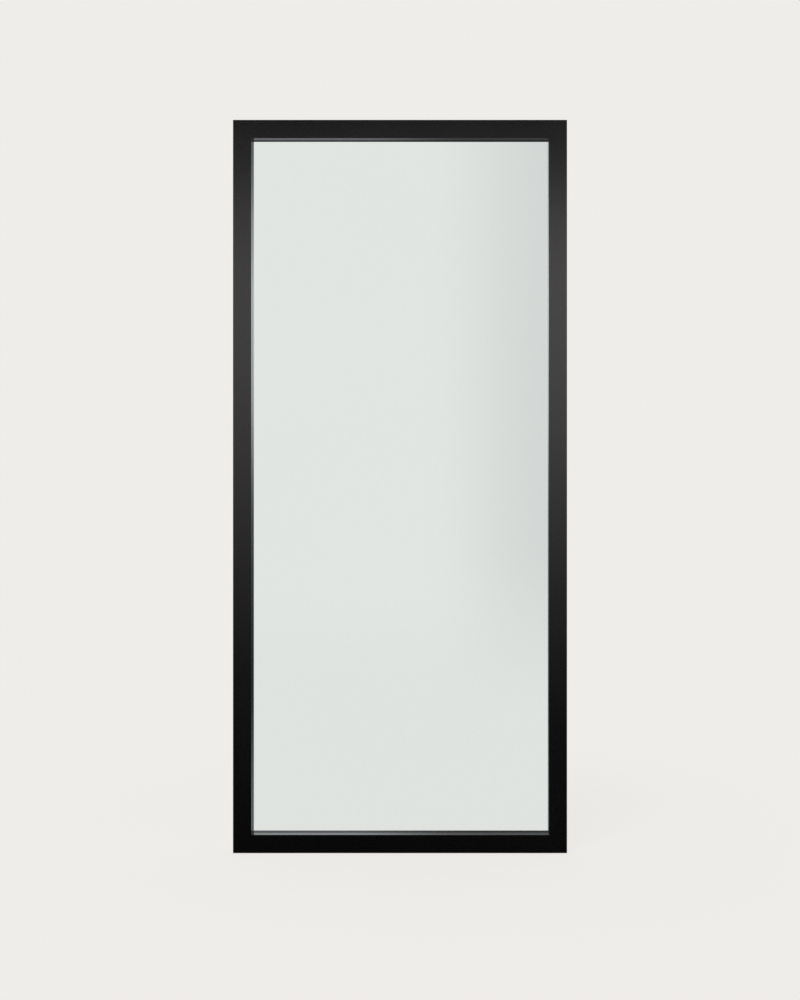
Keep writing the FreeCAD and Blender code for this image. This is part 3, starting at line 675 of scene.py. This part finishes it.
def screw_set(name, node, sizes, shank_radius, pan, material):
    """Screws in the places of a CAD node's, driven in from the back, each left at its own turn."""
    dice = random.Random(f"{SEED} {node}")
    work = bmesh.new()
    for low, high in solids_of(node):
        head_radius = (high.x - low.x) / 2
        length = high.y - low.y
        pattern = turned_screw(sizes, head_radius, shank_radius, length, pan)
        before = set(work.verts)
        work.from_mesh(pattern)
        bpy.data.meshes.remove(pattern)
        new = [vert for vert in work.verts if vert not in before]
        head = Vector(((low.x + high.x) / 2, high.y, (low.z + high.z) / 2))
        turn = Matrix.Rotation(dice.uniform(0, math.pi), 4, "Z")
        lay = Matrix.Rotation(-math.pi / 2, 4, "X")
        bmesh.ops.transform(work, matrix=Matrix.Translation(head) @ lay @ turn, verts=new)
    piece = as_piece(work, name, material)
    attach(piece, "mirror")
    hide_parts(node)
    return piece


# Studio ---------------------------------------------------------------------------------------

def studio_world(look):
    """Pale for the camera and for mirrors.

    All other light comes from a long softbox in front and a pale room behind. What the lip's inner
    faces show by way of the glass, or the glass by way of them, has its own brightness.
    """
    world = bpy.data.worlds.new("pale_studio")
    world.use_nodes = True
    tree = Tree(world.node_tree)
    across, depth, up = tree.split(tree.node("ShaderNodeTexCoord", output="Generated"))
    height = up.maths("ARCSINE")
    turn = across.maths("ARCTAN2", -depth)
    behind = tree.smooth(depth, -0.3, 0.3)

    def above(low, high):
        """0 below low degrees over the horizon, 1 above high."""
        return tree.smooth(height, math.radians(low), math.radians(high))

    def right_of(low, high):
        """0 left of low degrees from straight ahead, 1 right of high."""
        return tree.smooth(turn, math.radians(low), math.radians(high))

    # What polished things show: the softbox, brighter to the right, the ceiling and the rear.
    blur = math.radians(2.2)
    top = 1 - tree.smooth(height, look.top_edge - blur, look.top_edge + blur)
    lean = (1 + 0.97 * (turn + math.radians(2.7))).limited(0.75, 1.3)
    softbox = top * (look.softbox * above(-10.1, 11.7) + look.spill * above(-16.8, 11.7)) * lean
    front = softbox + look.ceiling * above(32, 70)
    rear = look.rear_floor + look.rear_wall * above(-14, 4)
    studio = front + behind * (rear - front)

    rays = tree.node("ShaderNodeLightPath", output="Is Camera Ray").socket.node.outputs
    seen = Wire(tree, rays["Is Camera Ray"])
    mirrored = Wire(tree, rays["Is Singular Ray"])
    through = Wire(tree, rays["Is Transmission Ray"])
    again = Wire(tree, rays["Glossy Depth"]) > 1.5
    plain = (seen + mirrored * (1 - again) + through).limited(0.0, 1.0)

    # The mirror shows a darker flag in its right half and a darker floor at its foot.
    flagged = right_of(-2.2, 3.4) * above(-10.5, -3)
    shade = look.flag * flagged + look.low_shade * (1 - above(-9, -5))

    # What the lip's inner faces show, by where it comes from.
    left = 1 - right_of(-5, -0.5)
    right = right_of(4, 8)
    low_glow = (look.low_glow + look.right_glow * right) * (1 - above(-14.5, -9))
    box_glow = studio * (0.2 + 0.45 * above(-3, 3)) * (1 - 0.35 * above(6.5, 9))
    high_glow = look.high_glow * above(9.5, 13)
    left_glow = left * (look.left_glow + 0.8 * height)
    inner = look.second_bounce + low_glow + box_glow + high_glow + left_glow
    share = 1 - look.glass_loss * (1 - mirrored) * (1 - right)

    lit = studio + again * (1 - behind) * (inner * share - studio)
    strength = plain * (1 - mirrored * shade) + (1 - plain) * lit
    pale = tree.mix(mirrored * flagged, look.background, look.shaded)
    colour = tree.mix(plain, look.room, pale)
    light = tree.node("ShaderNodeBackground", inputs={"Color": colour, "Strength": strength})
    tree.finish(light, "ShaderNodeOutputWorld")
    return world


def studio_floor(look):
    """A pale floor that keeps a soft shadow round the mirror and runs out into the background."""
    work = bmesh.new()
    bmesh.ops.create_grid(work, x_segments=8, y_segments=8, size=look.floor_size / 2)
    mesh = bpy.data.meshes.new("studio_floor")
    work.to_mesh(mesh)
    work.free()
    floor = bpy.data.objects.new("studio_floor", mesh)
    bpy.context.scene.collection.objects.link(floor)
    floor.visible_glossy = False

    material, tree = new_material("studio_floor_finish")
    across, depth, _ = tree.split(tree.place())
    reach = (across * across + depth * depth) ** 0.5
    near = 1 - tree.smooth(reach, *SHADOW_ENDS)
    seen = tree.node("ShaderNodeLightPath", output="Is Camera Ray")
    matt = tree.node("ShaderNodeBsdfDiffuse", inputs={"Color": rgba(look.background)})
    plain = tree.node("ShaderNodeEmission", inputs={"Color": rgba(look.background)})
    tree.finish(tree.mixed_surface(seen * (1 - look.shadow * near), matt, plain))
    mesh.materials.append(material)


def soft_lamp(look):
    """A wide soft lamp high over the camera. Polished things show the softbox instead."""
    data = bpy.data.lights.new("soft_lamp", "AREA")
    data.shape = "DISK"
    data.size = look.lamp_size
    data.energy = look.lamp
    lamp = bpy.data.objects.new("soft_lamp", data)
    bpy.context.scene.collection.objects.link(lamp)
    lamp.location = LAMP_PLACE
    aim = Vector(LAMP_TARGET) - lamp.location
    lamp.rotation_euler = aim.to_track_quat("-Z", "Y").to_euler()
    lamp.visible_glossy = False


def studio_camera(look):
    """A camera square to the mirror, a little right of its middle."""
    data = bpy.data.cameras.new("camera")
    data.lens = look.lens
    data.sensor_width = SENSOR_WIDTH
    view_height = look.distance * data.sensor_width / data.lens
    data.shift_x = -look.aside / view_height
    data.shift_y = (look.aim_up - look.height) / view_height
    camera = bpy.data.objects.new("camera", data)
    bpy.context.scene.collection.objects.link(camera)
    camera.location = (look.aside, CAD_BOX[0].y - look.distance, look.height)
    camera.rotation_euler = (math.pi / 2, 0.0, 0.0)
    bpy.context.scene.camera = camera


# Sizes and colours ----------------------------------------------------------------------------

def colour_prop(name, description, default):
    return FloatVectorProperty(
        name=name,
        description=description,
        subtype="COLOR",
        size=3,
        min=0.0,
        max=1.0,
        default=default,
    )


def share_prop(name, description, default):
    return FloatProperty(
        name=name, description=description, subtype="FACTOR", min=0.0, max=1.0, default=default
    )


def length_prop(name, description, default):
    return FloatProperty(
        name=name, description=description, unit="LENGTH", min=0.0, precision=5, default=default
    )


def number_prop(name, description, default, **kind):
    return FloatProperty(name=name, description=description, default=default, **kind)


class LacquerLook(bpy.types.PropertyGroup):
    colour: colour_prop("Lacquer", "Colour of the black lacquer", (0.0021, 0.0020, 0.0021))
    back_colour: colour_prop("Overspray", "Colour of the thin coat behind", (0.012, 0.0115, 0.011))
    back_dust: share_prop("Dust", "Strength of the paler specks in the thin coat", 0.6)
    roughness: share_prop("Roughness", "Roughness of the satin front", 0.17)
    back_roughness: share_prop("Back roughness", "Roughness of the thin coat", 0.55)
    peel_size: length_prop("Peel size", "Width of the lacquer's faint ripples", 0.004)
    peel_depth: length_prop("Peel depth", "Depth of the lacquer's faint ripples", 0.000006)


class GlassLook(bpy.types.PropertyGroup):
    tint: colour_prop("Tint", "Colour that the mirror gives to white", (0.878, 0.937, 0.935))
    dust_colour: colour_prop("Dust", "Colour of the last dust on the glass", (0.55, 0.55, 0.53))
    edge_colour: colour_prop("Edge", "Colour of the ground edge", (0.10, 0.26, 0.19))
    paint_colour: colour_prop("Paint", "Colour of the paint behind the silver", (0.13, 0.15, 0.16))
    haze: share_prop("Haze", "Share of the mirror that wipes and dust veil", 0.012)
    edge_relief: length_prop("Edge relief", "Depth of the grinding marks", 0.00003)
    paint_relief: length_prop("Paint relief", "Depth of the paint's runs", 0.00006)


class BoardLook(bpy.types.PropertyGroup):
    colour: colour_prop("Hardboard", "Main colour of the back panel", (0.215, 0.127, 0.072))
    light_colour: colour_prop("Light", "Colour of the panel's paler patches", (0.262, 0.161, 0.094))
    fibre_colour: colour_prop("Fibres", "Colour of single fibres", (0.36, 0.24, 0.145))
    speck_colour: colour_prop("Specks", "Colour of specks and cut edges", (0.075, 0.042, 0.025))
    roughness: share_prop("Roughness", "Roughness of the hardboard", 0.62)
    fibre_width: length_prop("Fibre width", "Width of a pressed fibre", 0.0004)
    relief: length_prop("Relief", "Height of the fibres", 0.00006)
    beech_colour: colour_prop("Beech", "Colour of the tongues in the mitres", (0.60, 0.44, 0.28))
    beech_relief: length_prop("Beech relief", "Depth of the beech's grain", 0.00005)


class MetalLook(bpy.types.PropertyGroup):
    zinc_colour: colour_prop("Zinc", "Colour of the fresh plating", (0.66, 0.67, 0.69))
    tarnish_colour: colour_prop("Tarnish", "Colour of the dulled plating", (0.575, 0.58, 0.575))
    bare_colour: colour_prop("Rubbed", "Colour of scratches", (0.80, 0.80, 0.80))
    zinc_roughness: share_prop("Roughness", "Roughness of the plating", 0.36)
    line_depth: length_prop("Line depth", "Depth of the rolling lines", 0.000012)


class RubberLook(bpy.types.PropertyGroup):
    bumper_colour: colour_prop("Bumpers", "Colour of the wall bumpers", (0.032, 0.032, 0.033))
    pad_colour: colour_prop("Floor pads", "Colour of the floor pads", (0.035, 0.034, 0.033))
    block_colour: colour_prop("Blocks", "Colour of the glass's blocks", (0.045, 0.045, 0.046))
    paleness: share_prop("Bloom", "How much paler the bloom is than the rubber", 0.055)
    roughness: share_prop("Roughness", "Roughness of moulded rubber", 0.66)
    grain_depth: length_prop("Grain depth", "Depth of the rubber's grain", 0.00003)


class FoamLook(bpy.types.PropertyGroup):
    tape_colour: colour_prop("Tape", "Colour of the glazing tape", (0.03, 0.03, 0.031))
    tape_round: length_prop("Tape rounding", "Rounding of the tape's edges", 0.00035)
    tape_cell: length_prop("Tape cells", "Width of the tape's cells", 0.0005)
    tape_relief: length_prop("Tape relief", "Depth of the tape's cells", 0.00005)
    tape_ripple: length_prop("Tape ripple", "Unevenness of the tape's edges", 0.00012)
    sheet_colour: colour_prop("Sheet", "Colour of the foam behind the glass", (0.78, 0.79, 0.79))
    sheet_round: length_prop("Sheet rounding", "Rounding of the sheet's edges", 0.0014)
    sheet_cell: length_prop("Sheet cells", "Width of the sheet's cells", 0.0016)
    sheet_relief: length_prop("Sheet relief", "Depth of the sheet's cells", 0.0002)
    sheet_ripple: length_prop("Sheet ripple", "Unevenness of the sheet's edges", 0.0007)


class ScrewLook(bpy.types.PropertyGroup):
    plate_shank: length_prop("Plate screw", "Radius of the corner plate screws", 0.002)
    panel_shank: length_prop("Panel screw", "Radius of the back panel screws", 0.0015)
    fixing_shank: length_prop("Fixing screw", "Radius of the hanger and bumper screws", 0.00175)
    pan_height: length_prop("Pan height", "Height of a raised head", 0.0022)
    pitch: length_prop("Pitch", "Rise of the thread in one turn", 0.0016)
    recess_reach: share_prop("Recess reach", "Half the cross's length as a share of the flat", 0.56)
    recess_width: share_prop("Recess width", "Half an arm's width as a share of the flat", 0.13)
    recess_depth: share_prop("Recess depth", "The cross's depth as a share of the flat", 0.5)


class StageLook(bpy.types.PropertyGroup):
    background: colour_prop("Background", "Colour of floor and backdrop", (0.863, 0.847, 0.815))
    shaded: colour_prop("Shaded", "Colour of the mirror's flagged half", (0.863, 0.849, 0.833))
    room: colour_prop("Room", "Colour of the softbox and of the room behind", (1.0, 0.963, 0.99))
    softbox: number_prop("Softbox", "Brightness of the long softbox in front", 1.69)
    spill: number_prop("Spill", "Brightness of the softbox's wide spill below", 0.265)
    top_edge: number_prop(
        "Top edge", "Height of the softbox's upper edge", math.radians(10.6), subtype="ANGLE"
    )
    ceiling: share_prop("Ceiling", "Brightness of the ceiling in front", 0.45)
    rear_floor: share_prop("Rear floor", "Brightness of the floor behind", 0.42)
    rear_wall: share_prop("Rear wall", "How much brighter the wall behind is", 0.43)
    flag: share_prop("Flag", "How much darker the mirror's right half shows the studio", 0.14)
    low_shade: share_prop("Low shade", "How much darker the mirror shows the floor", 0.025)
    second_bounce: share_prop("Second bounce", "Least light in the lip's inner faces", 0.05)
    low_glow: share_prop("Low glow", "Light from the floor in the lip's inner faces", 0.2)
    high_glow: share_prop("High glow", "Light from above in the lip's inner faces", 0.3)
    left_glow: share_prop("Left glow", "Light from the left in the lip's inner faces", 0.55)
    right_glow: share_prop("Right glow", "Low light from the right in the lip's inner faces", 0.15)
    glass_loss: share_prop("Glass loss", "How much darker the glass shows the inner faces", 0.6)
    lamp: number_prop("Lamp", "Power of the soft lamp over the camera", 140.0, unit="POWER")
    lamp_size: length_prop("Lamp size", "Width of the soft lamp", 3.2)
    shadow: share_prop("Shadow", "Strength of the shadow on the floor by the mirror", 0.1)
    floor_size: length_prop("Floor", "Length of each side of the floor", 30.0)
    aside: length_prop("Camera aside", "From the mirror's middle to the right", 0.178)
    height: length_prop("Camera height", "From the floor up", 0.962)
    distance: length_prop("Camera distance", "From the mirror's front", 3.4085)
    aim_up: length_prop("Aim height", "Height of the middle of the picture", 0.8684)
    lens: number_prop("Lens", "Focal length of the camera", 50.0, unit="CAMERA")


class FloorMirror(bpy.types.PropertyGroup):
    lacquer: PointerProperty(type=LacquerLook, name="Lacquer")
    glass: PointerProperty(type=GlassLook, name="Glass")
    board: PointerProperty(type=BoardLook, name="Board")
    metal: PointerProperty(type=MetalLook, name="Metal")
    rubber: PointerProperty(type=RubberLook, name="Rubber")
    foam: PointerProperty(type=FoamLook, name="Foam")
    screws: PointerProperty(type=ScrewLook, name="Screws")
    stage: PointerProperty(type=StageLook, name="Stage")


# Operators ------------------------------------------------------------------------------------

class FLOOR_MIRROR_OT_frame(bpy.types.Operator):
    """Lacquer the two rails and the two stiles"""

    bl_idname = "floor_mirror.frame"
    bl_label = "Lacquered frame"

    def execute(self, context):
        give(black_lacquer(context.scene.floor_mirror.lacquer), *FRAME_MEMBERS)
        return {"FINISHED"}


class FLOOR_MIRROR_OT_glass(bpy.types.Operator):
    """Silver the glass"""

    bl_idname = "floor_mirror.glass"
    bl_label = "Silvered glass"

    def execute(self, context):
        give(silvered_glass(context.scene.floor_mirror.glass), "mirror_glass")
        return {"FINISHED"}


class FLOOR_MIRROR_OT_back_panel(bpy.types.Operator):
    """Finish the hardboard that closes the back"""

    bl_idname = "floor_mirror.back_panel"
    bl_label = "Back panel"

    def execute(self, context):
        give(hardboard(context.scene.floor_mirror.board), "back_panel")
        return {"FINISHED"}


class FLOOR_MIRROR_OT_biscuits(bpy.types.Operator):
    """Finish the loose tongues in the mitres"""

    bl_idname = "floor_mirror.biscuits"
    bl_label = "Mitre tongues"

    def execute(self, context):
        give(beech(context.scene.floor_mirror.board), *BISCUITS)
        return {"FINISHED"}


class FLOOR_MIRROR_OT_fittings(bpy.types.Operator):
    """Plate the corner plates, the hanger straps and their rings"""

    bl_idname = "floor_mirror.fittings"
    bl_label = "Steel fittings"

    def execute(self, context):
        look = context.scene.floor_mirror.metal
        give(zinc_plate(look, "zinc_plate_finish"), *CORNER_PLATES, *STRAPS)
        give(zinc_plate(look, "zinc_wire_finish", wire=True), *RINGS)
        return {"FINISHED"}


class FLOOR_MIRROR_OT_screws(bpy.types.Operator):
    """Make the cross-headed screws"""

    bl_idname = "floor_mirror.screws"
    bl_label = "Screws"

    def execute(self, context):
        looks = context.scene.floor_mirror
        sizes = looks.screws
        steel = zinc_plate(looks.metal, "screw_steel_finish", wire=True)
        for name, node, shank_radius, pan in (
            ("cross_plate_screws", "corner_plate_screws", sizes.plate_shank, False),
            ("cross_panel_screws", "back_panel_screws", sizes.panel_shank, True),
            ("cross_hanger_screws", "hanger_screws", sizes.fixing_shank, True),
            ("cross_bumper_screws", "bumper_screws", sizes.fixing_shank, True),
        ):
            screw_set(name, node, sizes, shank_radius, pan, steel)
        return {"FINISHED"}


class FLOOR_MIRROR_OT_rubber_parts(bpy.types.Operator):
    """Finish the wall bumpers, the floor pads and the blocks round the glass"""

    bl_idname = "floor_mirror.rubber_parts"
    bl_label = "Rubber parts"

    def execute(self, context):
        look = context.scene.floor_mirror.rubber
        give(rubber(look, "bumper_finish", look.bumper_colour, bloom=0.5), *WALL_BUMPERS)
        give(rubber(look, "pad_finish", look.pad_colour, bloom=0.8), *FLOOR_PADS)
        give(rubber(look, "block_finish", look.block_colour, bloom=0.3), *GLASS_BLOCKS)
        return {"FINISHED"}


class FLOOR_MIRROR_OT_glazing_tapes(bpy.types.Operator):
    """Lay the soft tapes between the lip and the glass"""

    bl_idname = "floor_mirror.glazing_tapes"
    bl_label = "Glazing tapes"

    def execute(self, context):
        look = context.scene.floor_mirror.foam
        tape = foam("tape_foam_finish", look.tape_colour, look.tape_cell, look.tape_relief)
        for node in TAPES:
            upright = node.endswith(("left", "right"))
            strip = soft_slab(
                f"soft_{node}",
                node,
                tape,
                round_over=look.tape_round,
                pieces=(1, 1, 48) if upright else (24, 1, 1),
                ripple=look.tape_ripple,
            )
        return {"FINISHED"}


class FLOOR_MIRROR_OT_backing_foam(bpy.types.Operator):
    """Lay the foam sheet behind the glass"""

    bl_idname = "floor_mirror.backing_foam"
    bl_label = "Backing foam"

    def execute(self, context):
        look = context.scene.floor_mirror.foam
        sheet = foam("sheet_foam_finish", look.sheet_colour, look.sheet_cell, look.sheet_relief)
        slab = soft_slab(
            "soft_backing_foam",
            "backing_foam",
            sheet,
            round_over=look.sheet_round,
            pieces=(12, 1, 28),
            ripple=look.sheet_ripple,
        )
        return {"FINISHED"}


class FLOOR_MIRROR_OT_stage(bpy.types.Operator):
    """Set up the floor, the light and the camera"""

    bl_idname = "floor_mirror.stage"
    bl_label = "Studio"

    def execute(self, context):
        look = context.scene.floor_mirror.stage
        context.scene.world = studio_world(look)
        studio_floor(look)
        soft_lamp(look)
        studio_camera(look)
        context.scene.view_settings.view_transform = "Standard"
        return {"FINISHED"}


OPERATORS = (
    FLOOR_MIRROR_OT_frame,
    FLOOR_MIRROR_OT_glass,
    FLOOR_MIRROR_OT_glazing_tapes,
    FLOOR_MIRROR_OT_backing_foam,
    FLOOR_MIRROR_OT_back_panel,
    FLOOR_MIRROR_OT_biscuits,
    FLOOR_MIRROR_OT_fittings,
    FLOOR_MIRROR_OT_screws,
    FLOOR_MIRROR_OT_rubber_parts,
    FLOOR_MIRROR_OT_stage,
)
LOOKS = (LacquerLook, GlassLook, BoardLook, MetalLook, RubberLook, FoamLook, ScrewLook, StageLook)


class VIEW3D_PT_floor_mirror(bpy.types.Panel):
    """Lists the mirror's pieces and their looks"""

    bl_label = "Floor mirror"
    bl_space_type = "VIEW_3D"
    bl_region_type = "UI"
    bl_category = "Floor mirror"

    def draw(self, context):
        looks = context.scene.floor_mirror
        for operator in OPERATORS:
            self.layout.operator(operator.bl_idname)
        for group in FloorMirror.__annotations__:
            box = self.layout.box()
            box.label(text=group.title())
            look = getattr(looks, group)
            for prop in type(look).__annotations__:
                box.prop(look, prop)


CLASSES = (*LOOKS, FloorMirror, *OPERATORS, VIEW3D_PT_floor_mirror)


def register():
    for kind in CLASSES:
        bpy.utils.register_class(kind)
    bpy.types.Scene.floor_mirror = PointerProperty(type=FloorMirror)


def unregister():
    del bpy.types.Scene.floor_mirror
    for kind in reversed(CLASSES):
        bpy.utils.unregister_class(kind)


def main():
    register()
    for operator in OPERATORS:
        group, name = operator.bl_idname.split(".")
        getattr(getattr(bpy.ops, group), name)()


if __name__ == "__main__":
    main()
